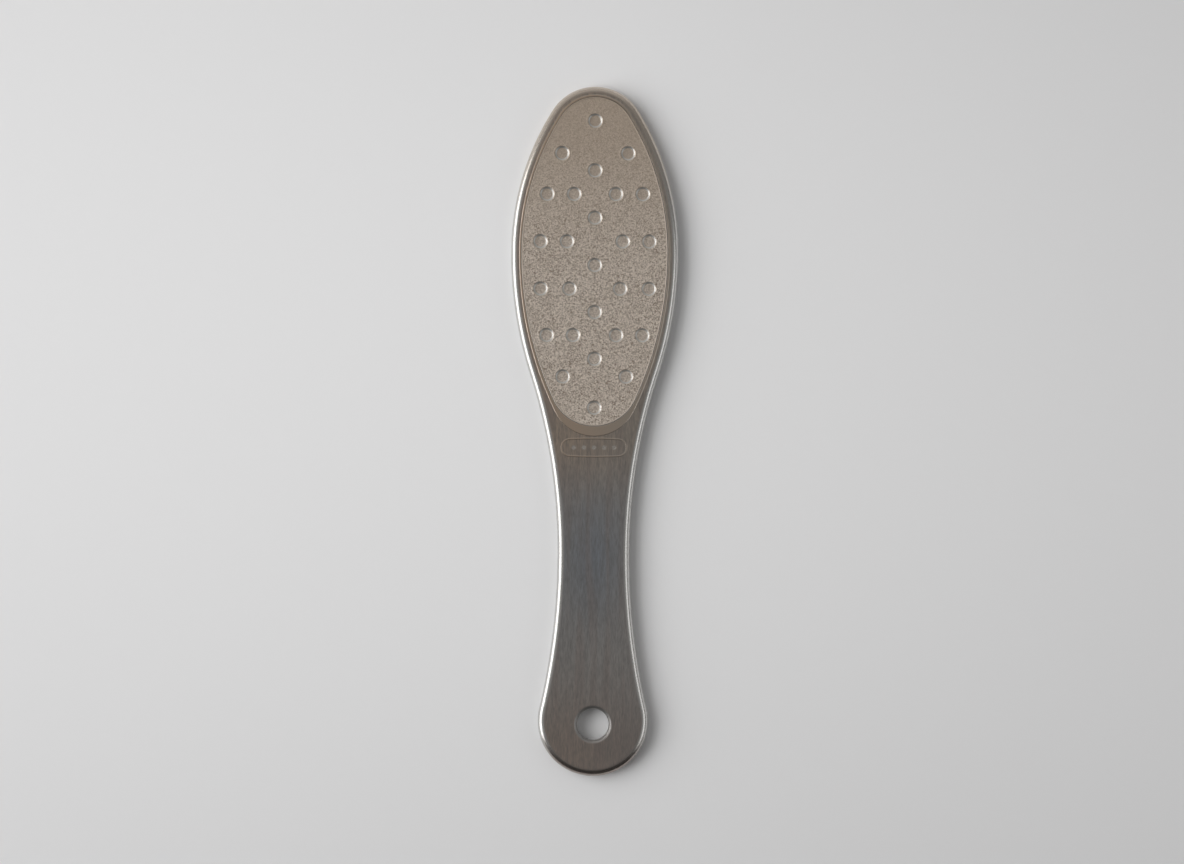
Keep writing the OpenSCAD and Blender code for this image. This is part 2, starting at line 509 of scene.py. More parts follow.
def grains(bench: Bench, vector: object, fineness: object) -> Outputs:
    """Scatters grains: their height, their clumps and a random shade for each.

    Args:
        bench: The group's bench.
        vector: The group's coordinates.
        fineness: The group's scale.

    Returns:
        The group's outputs.
    """
    fine = bench.range(bench.noise(vector, fineness, detail=1.0), *GRAIN_BAND, kind="LINEAR")
    coarse = bench.times(fineness, CLUMP_FINENESS)
    clumps = bench.range(bench.noise(vector, coarse, detail=2.0), *SOFT_BAND)
    cells = bench.add("ShaderNodeTexVoronoi", {"Vector": vector, "Scale": fineness}, feature="F1")
    shade = bench.add("ShaderNodeSeparateColor", {0: cells.outputs["Color"]})
    height = bench.times(fine, bench.total(1 - CLUMP_SHARE, (clumps, CLUMP_SHARE)))
    return {"Height": height, "Clumps": clumps, "Specks": shade.outputs[0]}


def smudges(bench: Bench, vector: object, fineness: object) -> Outputs:
    """Varies a surface softly, as handling and polishing do."""
    return {"Smudges": bench.range(bench.noise(vector, fineness, detail=4.0), *SOFT_BAND)}


def group_tree(name: str, build: Callable[[Bench, object, object], Outputs]) -> bpy.types.NodeTree:
    """Builds a shader node group once, with a vector and a fineness as its inputs.

    Args:
        name: The group's name.
        build: Adds the group's nodes and gives its outputs.

    Returns:
        The group's tree.
    """
    tree = bpy.data.node_groups.get(name)
    if tree is not None:
        return tree
    tree = bpy.data.node_groups.new(name, "ShaderNodeTree")
    for key, kind in (("Vector", "NodeSocketVector"), ("Fineness", "NodeSocketFloat")):
        tree.interface.new_socket(key, in_out="INPUT", socket_type=kind)
    bench = Bench(tree)
    entry, leave = bench.add("NodeGroupInput"), bench.add("NodeGroupOutput")
    outputs = build(bench, entry.outputs["Vector"], entry.outputs["Fineness"])
    for key in outputs:
        tree.interface.new_socket(key, in_out="OUTPUT", socket_type="NodeSocketFloat")
    for key, source in outputs.items():
        bench.put(source, leave.inputs[key])
    return tree


class Effect(Enum):
    """A shared effect: its group's name and the function that fills it."""

    BRUSH = ("brush_lines", brush_lines)
    GRAIN = ("grains", grains)
    SMUDGE = ("smudges", smudges)

    def place(self, bench: Bench, vector: object, fineness: float) -> Outputs:
        """Places the effect's group in a material and gives its outputs."""
        inputs = {"Vector": vector, "Fineness": fineness}
        return bench.add("ShaderNodeGroup", inputs, node_tree=group_tree(*self.value)).outputs


# Finishes


@dataclass(frozen=True)
class Finish:
    """What every finish holds: its name in the record, its colours and how rough it is."""

    slot: str
    light: Colour
    dark: Colour
    rough: float
    metal: float = 0.0

    def look(self, bench: Bench, place: bpy.types.NodeSocket) -> Inputs:
        """Gives the shader's inputs. Each kind of finish works out its own."""
        raise NotImplementedError

    def make(self) -> bpy.types.Material:
        """Builds the material.

        Returns:
            The material.
        """
        material = bpy.data.materials.new(self.slot)
        material.use_nodes = True
        bench = Bench(material.node_tree)
        shader = material.node_tree.nodes["Principled BSDF"]
        place = bench.add("ShaderNodeTexCoord").outputs["Object"]
        for name, source in {"Metallic": self.metal, **self.look(bench, place)}.items():
            bench.put(source, shader.inputs[name])
        return material


@dataclass(frozen=True)
class ShellSteel(Finish):
    """Stainless sheet, brushed lengthwise, polished round the edge, satin on the frame.

    It is matt on the hole's lip, in a darker colour that is painted shade, and the lip's polished
    side towards the lower right is a painted highlight. Soft tints stand for the room that polished
    steel
    mirrors, as painted reflections: warmer over the head, bluish in the middle of the handle and
    brownish towards the lower end, each a little different on the right. The polished edge has a
    brownish painted reflection towards the tip and painted shade at the lower end. The tint over
    the head also colours the satin frame.
    """

    # Tint of the head and of the satin frame: painted reflection over the head, a little different
    # on the right
    tint: Colour = (0.85, 0.675, 0.53)
    tint_right: Colour = (0.74, 0.64, 0.54)
    # Across the tool the painted reflections turn to their right-side colours
    right_band: Band = (-8 * MM, 14 * MM)
    warm_reflection_band: Band = (-24 * MM, -2 * MM)
    warm_reflection_share: float = 0.85
    # Painted reflection: a bluish-grey patch round the middle of the handle
    cool_reflection: Colour = (0.51, 0.545, 0.60)
    cool_middle: float = -38 * MM
    cool_reach: float = 30 * MM
    cool_width: float = 10 * MM
    cool_least: float = 0.5
    # Painted reflection: brownish towards the lower end, a little different on the right
    brown_reflection: Colour = (0.635, 0.525, 0.455)
    brown_reflection_right: Colour = (0.56, 0.485, 0.445)
    brown_reflection_band: Band = (-62 * MM, -98 * MM)
    streak: Colour = (0.56, 0.46, 0.42)
    streak_share: float = 0.4
    line_share: float = 0.58
    line_rough: float = 0.08
    line_depth: float = 0.008 * MM
    fineness: float = 1000.0
    smudge_fineness: float = 26.0
    smudge_rough: float = 0.05
    edge: Colour = (0.69, 0.68, 0.66)
    # Polished edge: painted brownish reflection towards the tip, painted dark shade at the lower
    # end
    tip_edge_reflection: Colour = (0.64, 0.56, 0.48)
    tip_reflection_band: Band = (55 * MM, 96 * MM)
    end_edge_shade: Colour = (0.38, 0.33, 0.30)
    end_band: Band = (-88 * MM, -99 * MM)
    # Matt lip, darker than the steel: painted shade
    lip: Colour = (0.42, 0.41, 0.40)
    etched: Colour = (0.66, 0.62, 0.57)
    polish_rough: float = 0.26
    satin_rough: float = 0.34
    dull_rough: float = 0.5
    etch_rough: float = 0.35

    def look(self, bench: Bench, place: bpy.types.NodeSocket) -> Inputs:
        """Lays the tints, the brush lines and the worn places over the plain steel.

        Args:
            bench: The material's bench.
            place: The object coordinates.

        Returns:
            The shader's inputs.
        """
        polish, satin, etch, dull_and_shaded = (bench.mask(name) for name in STEEL_MASKS)
        brush = Effect.BRUSH.place(bench, place, self.fineness)
        lines = brush["Lines"]
        smudge = Effect.SMUDGE.place(bench, place, self.smudge_fineness)["Smudges"]
        x, y, _ = bench.axes(place)
        bare = bench.rest(polish)
        brushed = bench.rest(bench.math("MAXIMUM", bench.math("MAXIMUM", polish, dull_and_shaded), satin))
        streak = bench.times(lines, brushed)
        # Right side of the painted reflections: they take other colours there
        right = bench.range(x, *self.right_band)
        # Painted reflection: bluish-grey patch round the middle of the handle, weaker to the sides
        away = bench.math("ABSOLUTE", bench.math("SUBTRACT", y, self.cool_middle))
        aside = bench.range(bench.math("ABSOLUTE", x), self.cool_width, 0.0, self.cool_least)
        cool_reflection = bench.times(bench.times(bench.range(away, self.cool_reach, 0.0), bare), aside)
        # Painted reflection: brownish towards the lower end
        brown_reflection = bench.times(bench.range(y, *self.brown_reflection_band), bare)
        # Painted reflection: a warmer tint over the head and neck, fading out down the handle
        warm_reflection = bench.times(bench.range(y, *self.warm_reflection_band), self.warm_reflection_share)
        broad = bench.times(bench.times(brush["Tints"], self.streak_share), brushed)
        # Polished edge with a painted brownish reflection towards the tip
        edge = bench.mix(bench.range(y, *self.tip_reflection_band), self.edge, self.tip_edge_reflection)
        colour = self.light
        for share, over in (
            (cool_reflection, self.cool_reflection),
            (brown_reflection, bench.mix(right, self.brown_reflection, self.brown_reflection_right)),
            (bench.math("MAXIMUM", warm_reflection, satin), bench.mix(right, self.tint, self.tint_right)),
            (broad, self.streak),
            (bench.times(streak, self.line_share), self.dark),
            # Polished edge in painted dark shade at the lower end
            (polish, bench.mix(bench.range(y, *self.end_band), edge, self.end_edge_shade)),
            # Matt lip in painted shade
            (dull_and_shaded, self.lip),
            (etch, self.etched),
        ):
            colour = bench.mix(share, colour, over)
        rough = bench.total(self.rough, (lines, self.line_rough), (smudge, self.smudge_rough))
        rough = bench.total(
            0.0, (rough, brushed), (polish, self.polish_rough), (satin, self.satin_rough),
            (dull_and_shaded, self.dull_rough), (etch, self.etch_rough),
        )
        normal = bench.bump(streak, self.line_depth)
        return {"Base Color": colour, "Roughness": rough, "Normal": normal}


@dataclass(frozen=True)
class FilePlating(Finish):
    """Etched and plated file surface with grains of one size.

    It is smoother on the edge bead and in the dimples. Towards the tip its grains are lower and
    worn, and its colour is darker and browner.
    """

    grain: float = 0.27 * MM
    grain_depth: float = 0.08 * MM
    grain_rough: float = 0.12
    speck_contrast: float = 1.35
    clump_contrast: float = 0.1
    smudge_contrast: float = 0.08
    smudge_fineness: float = 60.0
    mean_tone: float = 0.32
    smooth_gain: float = 0.15
    tipward_band: Band = (40 * MM, 100 * MM)
    worn_sharpness: float = 0.7
    tip: Colour = (0.50, 0.395, 0.30)
    tip_share: float = 0.65
    rubbed: Colour = (0.755, 0.745, 0.715)
    rubbed_rough: float = 0.47
    rubbed_metal: float = 0.95

    def look(self, bench: Bench, place: bpy.types.NodeSocket) -> Inputs:
        """Scatters the grains, and smooths them where the plating is rubbed or worn.

        Args:
            bench: The material's bench.
            place: The object coordinates.

        Returns:
            The shader's inputs.
        """
        grit, rubbed = (bench.mask(name) for name in PLATE_MASKS)
        cells = Effect.GRAIN.place(bench, place, 1 / self.grain)
        smudge = Effect.SMUDGE.place(bench, place, self.smudge_fineness)["Smudges"]
        y = bench.axes(place)[1]
        sharpness = bench.range(y, *self.tipward_band, 1.0, self.worn_sharpness)
        specks, clumps = (
            bench.times(bench.math("SUBTRACT", cells[key], 0.5), sharpness)
            for key in ("Specks", "Clumps")
        )
        tone = bench.total(
            0.0, (specks, self.speck_contrast), (clumps, self.clump_contrast),
            (smudge, self.smudge_contrast),
        )
        colour = bench.mix(bench.total(self.mean_tone, (tone, grit)), self.light, self.dark)
        # Darker and browner towards the tip
        colour = bench.mix(bench.range(y, *self.tipward_band, 0.0, self.tip_share), colour, self.tip)
        rough = bench.total(
            self.rough, (cells["Height"], self.grain_rough), (bench.rest(grit), -self.smooth_gain),
        )
        height = bench.times(bench.times(cells["Height"], sharpness), grit)
        return {
            "Base Color": bench.mix(rubbed, colour, self.rubbed),
            "Metallic": bench.range(rubbed, 0.0, 1.0, self.metal, self.rubbed_metal, "LINEAR"),
            "Roughness": bench.range(rubbed, 0.0, 1.0, rough, self.rubbed_rough, "LINEAR"),
            "Normal": bench.bump(height, self.grain_depth),
        }


@dataclass(frozen=True)
class Moulding(Finish):
    """Moulded filler or cast film, with a fine even grain."""

    grain: float = 0.5 * MM
    grain_depth: float = 0.01 * MM
    clump_rough: float = 0.1
    smudge_fineness: float = 90.0

    def look(self, bench: Bench, place: bpy.types.NodeSocket) -> Inputs:
        """Lays soft smudges and a fine grain.

        Args:
            bench: The material's bench.
            place: The object coordinates.

        Returns:
            The shader's inputs.
        """
        cells = Effect.GRAIN.place(bench, place, 1 / self.grain)
        smudge = Effect.SMUDGE.place(bench, place, self.smudge_fineness)["Smudges"]
        return {
            "Base Color": bench.mix(smudge, self.light, self.dark),
            "Roughness": bench.total(self.rough, (cells["Clumps"], self.clump_rough)),
            "Normal": bench.bump(cells["Height"], self.grain_depth),
        }


@dataclass(frozen=True)
class FloorPaint(Finish):
    """Pale matt floor, with a painted pool of light under the tool's handle that darkens far away,
    and painted darkness further out.
    """

    # Painted darkness far from the tool
    edge: Colour = (0.2, 0.2, 0.202)
    painted_light_middle: tuple[float, float, float] = (0.0, -45 * MM, 0.0)
    stretch: tuple[float, float, float] = (0.6, 1.0, 1.0)
    painted_light_fade: float = 0.34
    painted_dark_band: Band = (0.26, 0.6)
    gloss: float = 0.1

    def look(self, bench: Bench, place: bpy.types.NodeSocket) -> Inputs:
        """Paints the pool of light: darkens the floor with the distance from its middle, then
        further out into the painted darkness.

        Args:
            bench: The material's bench.
            place: The object coordinates.

        Returns:
            The shader's inputs.
        """
        inputs = {"Vector": place, "Location": self.painted_light_middle, "Scale": self.stretch}
        shift = bench.add("ShaderNodeMapping", inputs).outputs[0]
        away = bench.add("ShaderNodeVectorMath", {0: shift}, operation="LENGTH").outputs["Value"]
        colour = bench.mix(bench.range(away, 0.0, self.painted_light_fade), self.light, self.dark)
        colour = bench.mix(bench.range(away, *self.painted_dark_band), colour, self.edge)
        return {"Base Color": colour, "Roughness": self.rough, "Specular IOR Level": self.gloss}


SHELL_STEEL = ShellSteel("shell_steel", (0.655, 0.63, 0.61), (0.30, 0.29, 0.28), 0.27, 1.0)
COARSE_FILE = FilePlating("coarse_file", (0.85, 0.755, 0.66), (0.35, 0.275, 0.215), 0.48, 0.62)
FINE_FILE = FilePlating("fine_file", (0.74, 0.665, 0.59), (0.40, 0.355, 0.315), 0.46, 0.62,
                        grain=0.2 * MM, grain_depth=0.014 * MM)
CORE_PLASTIC = Moulding("core_plastic", (0.030, 0.030, 0.032), (0.020, 0.020, 0.021), 0.5)
BOND_FILM = Moulding("bond_film", (0.62, 0.55, 0.36), (0.52, 0.45, 0.28), 0.4, grain=0.8 * MM)
FLOOR = FloorPaint("floor", (0.89, 0.89, 0.895), (0.68, 0.68, 0.685), 0.9)


# Pieces


@dataclass(frozen=True)
class Stack:
    """Heights of the layers above the seam, and the sheet and plate that set them."""

    face: float = 2.1 * MM
    frame_height: float = 0.1 * MM
    plate_top: float = 2.25 * MM
    plate_thickness: float = 0.4 * MM
    film_thickness: float = 0.1 * MM
    sheet: float = 0.5 * MM

    @property
    def frame_top(self) -> float:
        """Height of the raised frame."""
        return self.face + self.frame_height

    @property
    def seat(self) -> float:
        """Height of the seat's floor."""
        return self.plate_top - self.plate_thickness - self.film_thickness


@dataclass(frozen=True)
class Dimples:
    """The pressed dimples: their size, and their places.

    A place is a share of the plate's length, and for a pair first one of its half width.
    """

    width: float = 4.8 * MM
    floor_width: float = 3 * MM
    depth: float = 0.45 * MM
    middle_shares: tuple[float, ...] = (0.055, 0.204, 0.346, 0.489, 0.633, 0.777, 0.928)
    pair_shares: tuple[tuple[float, float], ...] = (
        (0.433, 0.150), (0.295, 0.276), (0.655, 0.276), (0.346, 0.417), (0.742, 0.417),
        (0.382, 0.561), (0.745, 0.561), (0.286, 0.705), (0.655, 0.705), (0.452, 0.829),
    )

    @property
    def fall(self) -> float:
        """How far the wall drops for each length that it runs inwards."""
        return 2 * self.depth / (self.width - self.floor_width)

    @property
    def growth(self) -> float:
        """How much a floor's radius grows for each thickness of layer laid under it."""
        return (math.sqrt(1 + self.fall**2) - 1) / self.fall

    def places(self, low_y: float, length: float, half_width: float) -> Places:
        """Works out where the dimples are.

        Args:
            low_y: Height of the plate's lower end.
            length: The plate's length.
            half_width: The plate's half width.

        Returns:
            The places on the face.
        """
        middle = [(0.0, low_y + share * length) for share in self.middle_shares]
        pairs = [(out * half_width, low_y + up * length) for out, up in self.pair_shares]
        return middle + [(side * x, y) for side in (-1, 1) for x, y in pairs]


@dataclass
class Half:
    """What the pieces of one side share: the layers, the dimples and the side's place."""

    stack: Stack
    dimples: Dimples
    dimple_places: Places
    side: Side
    seam_z: float

    def press(self, bm: BMesh, layer: float, flat: float) -> None:
        """Turns the pressing of each dimple as it shows on a lower layer.

        Args:
            bm: The mesh to add to.
            layer: Thickness laid under the plate's face.
            flat: Height of the flat that is pressed.
        """
        floor_radius = self.dimples.floor_width / 2 + layer * self.dimples.growth
        floor_z = self.stack.plate_top - self.dimples.depth - layer
        radius = floor_radius + (flat - floor_z) / self.dimples.fall
        section = [(radius + FLAT_RUN, flat), (radius, flat), (floor_radius, floor_z)]
        stamp(bm, [*section, (0.0, floor_z)], PIT_STEPS, self.dimple_places)

    def finish(self, bm: BMesh, name: str, sharp: float) -> bpy.types.Object:
        """Closes a piece, places it on its side and makes it an object at the origin.

        Its faces are sorted, because extruding leaves them in another order each run.

        Args:
            bm: The piece, modelled upwards from the seam. It is freed.
            name: The object's name.
            sharp: Angle in degrees past which an edge stays sharp.

        Returns:
            The new object.
        """
        bmesh.ops.remove_doubles(bm, verts=bm.verts, dist=TOUCH)
        bmesh.ops.dissolve_degenerate(bm, edges=bm.edges, dist=TOUCH)
        bmesh.ops.scale(bm, vec=(1.0, 1.0, float(self.side.value)), verts=bm.verts)
        bmesh.ops.translate(bm, vec=(0.0, 0.0, self.seam_z), verts=bm.verts)
        bmesh.ops.recalc_face_normals(bm, faces=bm.faces)
        for index, face in enumerate(sorted(bm.faces, key=lambda f: f.calc_center_median()[:])):
            face.index = index
        bm.faces.sort()
        for face in bm.faces:
            face.smooth = face.material_index != FLAT
            face.material_index = 0
        for edge in bm.edges:
            edge.smooth = edge.calc_face_angle(0.0) < math.radians(sharp)
        open_edges = sum(1 for e in bm.edges if not e.is_manifold)
        LOG.info("%s: %d faces, %d open edges", name, len(bm.faces), open_edges)
        return link(name, new_mesh(bm, name))


@dataclass
class HalfShell(Half):
    """One pressed half shell: its edge, raised frame, seat with pits, drawn lip and plain field."""

    shape: ToolShape
    plate_outline: Outline
    frame_outline: Outline
    hole_y: float
    seat_fit: float = 0.15 * MM
    pit_fit: float = 0.05 * MM
    ease_run: float = 0.22 * MM
    frame_slope: float = 0.2 * MM
    seat_round: float = 0.08 * MM
    hole_radius: float = 4.7 * MM
    lip_radius: float = 1.2 * MM
    seam_chamfer: float = 0.05 * MM
    rim_steps: int = 18
    lip_steps: int = 12
    slope_steps: int = 5
    seat_steps: int = 3
    turn_steps: int = 96
    polish_drop: float = 0.12 * MM
    lip_highlight_share: float = 0.55
    lip_wall_from: float = 0.75
    mark_count: int = 5
    mark_pitch: float = 3 * MM
    mark_radius: float = 0.8 * MM
    mark_depth: float = 0.06 * MM
    mark_drop: float = 3.3 * MM
    bowl_run: float = 0.6
    bowl_drop: float = 0.8
    field_width: float = 19.4 * MM
    field_height: float = 5.4 * MM
    field_end: float = 2.5 * MM
    bead_width: float = 0.7 * MM
    bead_rise: float = 0.1 * MM
    bead_steps: int = 4
    sharp: float = 40

    def edge(self, bm: BMesh) -> None:
        """Sweeps the full round edge with its lining and seam face round the body.

        Args:
            bm: The mesh to add to.
        """
        face, sheet = self.stack.face, self.stack.sheet
        run = face + self.ease_run
        lining = quarter(face - sheet, (face, 0.0), 180, self.rim_steps)
        rim = quarter(face, (run, 0.0), 180, self.rim_steps, run)
        chamfer = [(self.seam_chamfer, 0.0), (0.0, self.seam_chamfer)]
        section = [(run + FLAT_RUN, face - sheet), *reversed(lining), *chamfer, *rim[1:]]
        sweep(bm, self.shape.body(), [*section, (run + FLAT_RUN, face)])

    def raised_frame(self, bm: BMesh) -> None:
        """Sweeps the frame's outer slope.

        Args:
            bm: The mesh to add to.
        """
        face, rise = self.stack.face, self.stack.frame_top - self.stack.face
        shares = [i / self.slope_steps for i in range(self.slope_steps + 1)]
        slope = [(self.frame_slope * s, face + rise * ease(s)) for s in shares]
        sweep(bm, self.frame_outline, [(-FLAT_RUN, face), *slope])

    def seat(self, bm: BMesh) -> None:
        """Sweeps the seat's rounded wall, and the dish that it presses into the underside.

        Args:
            bm: The mesh to add to.
        """
        top, floor, sheet = self.stack.frame_top, self.stack.seat, self.stack.sheet
        wall, turn = -self.seat_fit, self.seat_round
        corner = quarter(turn, (wall - turn, top - turn), 90, self.seat_steps)
        foot = [(wall, floor), (wall + FLAT_RUN, floor)]
        sweep(bm, self.plate_outline, [(wall - turn - FLAT_RUN, top), *corner, *foot])
        under, low, dish = wall - sheet, self.stack.face - sheet, floor - sheet
        sweep(bm, self.plate_outline,
              [(under - FLAT_RUN, low), (under, low), (under, dish), (wall, dish)])

    def pits(self, bm: BMesh) -> None:
        """Presses a pit in the seat under each dimple, and its bulge on the sheet's underside."""
        for depth in (0.0, self.stack.sheet):
            layer = self.stack.plate_thickness + self.pit_fit + depth
            self.press(bm, layer, self.stack.seat - depth)

    def lip(self, bm: BMesh) -> None:
        """Turns the lip that is drawn down into the hang hole, with its underside.

        Args:
            bm: The mesh to add to.
        """
        face, sheet, hole = self.stack.face, self.stack.sheet, self.hole_radius
        mouth = (hole + self.lip_radius, face - self.lip_radius)
        out = mouth[0] + FLAT_RUN
        upper = quarter(self.lip_radius, mouth, 180, self.lip_steps)
        under = quarter(self.lip_radius - sheet, mouth, 180, self.lip_steps)
        chamfer = [(hole, self.seam_chamfer), (hole + self.seam_chamfer, 0.0), (hole + sheet, 0.0)]
        section = [(out, face), *reversed(upper), *chamfer, *under, (out, face - sheet)]
        stamp(bm, section, self.turn_steps, [(0.0, self.hole_y)])

    @property
    def mark_y(self) -> float:
        """Height of the row of marks."""
        return self.frame_outline.low_y() - self.mark_drop

    def dots(self, bm: BMesh) -> None:
        """Turns a plain row of small pressed dots below the frame.

        Args:
            bm: The mesh to add to.
        """
        face, radius, depth = self.stack.face, self.mark_radius, self.mark_depth
        bowl = (self.bowl_run * radius, face - self.bowl_drop * depth)
        section = [(radius + FLAT_RUN, face), (radius, face), bowl, (0.0, face - depth)]
        columns = [i - (self.mark_count - 1) / 2 for i in range(self.mark_count)]
        stamp(bm, section, PIT_STEPS, [(i * self.mark_pitch, self.mark_y) for i in columns])

    def bead(self, bm: BMesh) -> None:
        """Sweeps a plain bead round the dots.

        Args:
            bm: The mesh to add to.
        """
        face, half, end = self.stack.face, self.bead_width / 2, self.field_end
        middle = self.field_width / 2 - end
        long = bulge_radius(self.field_height / 2, middle, end)
        rise = long - self.field_height / 2
        turn = bearing((0.0, rise), (middle, 0.0))
        outline = Outline((
            Arc(0.0, self.mark_y + rise, long, -90, turn),
            Arc(middle, self.mark_y, end, turn, -turn),
            Arc(0.0, self.mark_y - rise, long, -turn, 90),
        ))
        shares = [i / self.bead_steps - 1 for i in range(2 * self.bead_steps + 1)]
        bead = [(half * s, face + self.bead_rise * ease(1 - abs(s))) for s in shares]
        sweep(bm, outline, [(-half - FLAT_RUN, face), *bead, (half + FLAT_RUN, face)])

    def wear(self, bm: BMesh) -> None:
        """Marks where the sheet is polished, satin or etched, and where the lip is matt and painted
        in shade.

        The lip's straight wall is polished, and so is its side towards the lower right, where the
        lighter polished colour is a painted highlight. The rest of the lip is matt, in a darker
        colour that is painted shade.

        Args:
            bm: The whole shell.
        """
        for name in STEEL_MASKS:
            bm.verts.layers.float.new(name)
        polish, satin, etch, dull_and_shaded = (bm.verts.layers.float[name] for name in STEEL_MASKS)
        hole, depth = Vector((0.0, self.hole_y)), self.mark_depth
        row = self.mark_count * self.mark_pitch / 2
        for vert in bm.verts:
            drop, out = self.stack.face - vert.co.z, vert.co.xy - hole
            dotted = abs(vert.co.y - self.mark_y) <= self.mark_radius
            dotted = dotted and abs(vert.co.x) < row and depth / 2 < drop < 2 * depth
            bare, smooth = 0.0 if dotted else ease(drop / self.polish_drop), 1.0
            if out.length < self.hole_radius + 2 * self.lip_radius:
                # Polish towards the lip's lower right paints a highlight there; the rest of the lip
                # takes the painted shade
                rubbed = self.lip_highlight_share * ease((out.x - out.y) / (2 * self.hole_radius))
                wall = drop / self.lip_radius - self.lip_wall_from
                smooth = max(rubbed, ease(wall / (1 - self.lip_wall_from)))
            vert[polish], vert[dull_and_shaded] = bare * smooth, bare * (1 - smooth)
            vert[satin], vert[etch] = ease(-drop / self.stack.frame_height), float(dotted)

    def build(self, name: str) -> bpy.types.Object:
        """Builds the half shell.

        Args:
            name: The object's name.

        Returns:
            The object.
        """
        bm, stack = bmesh.new(), self.stack
        parts = [self.pits, self.lip, self.edge, self.raised_frame, self.seat]
        if self.side is Side.FRONT:
            parts += [self.dots, self.bead]
        for part in parts:
            part(bm)
        bmesh.ops.remove_doubles(bm, verts=bm.verts, dist=TOUCH)
        for height in (stack.face, stack.frame_top, stack.seat, stack.face - stack.sheet,
                       stack.seat - stack.sheet):
            fill_level(bm, height)
        self.wear(bm)
        return self.finish(bm, name, self.sharp)


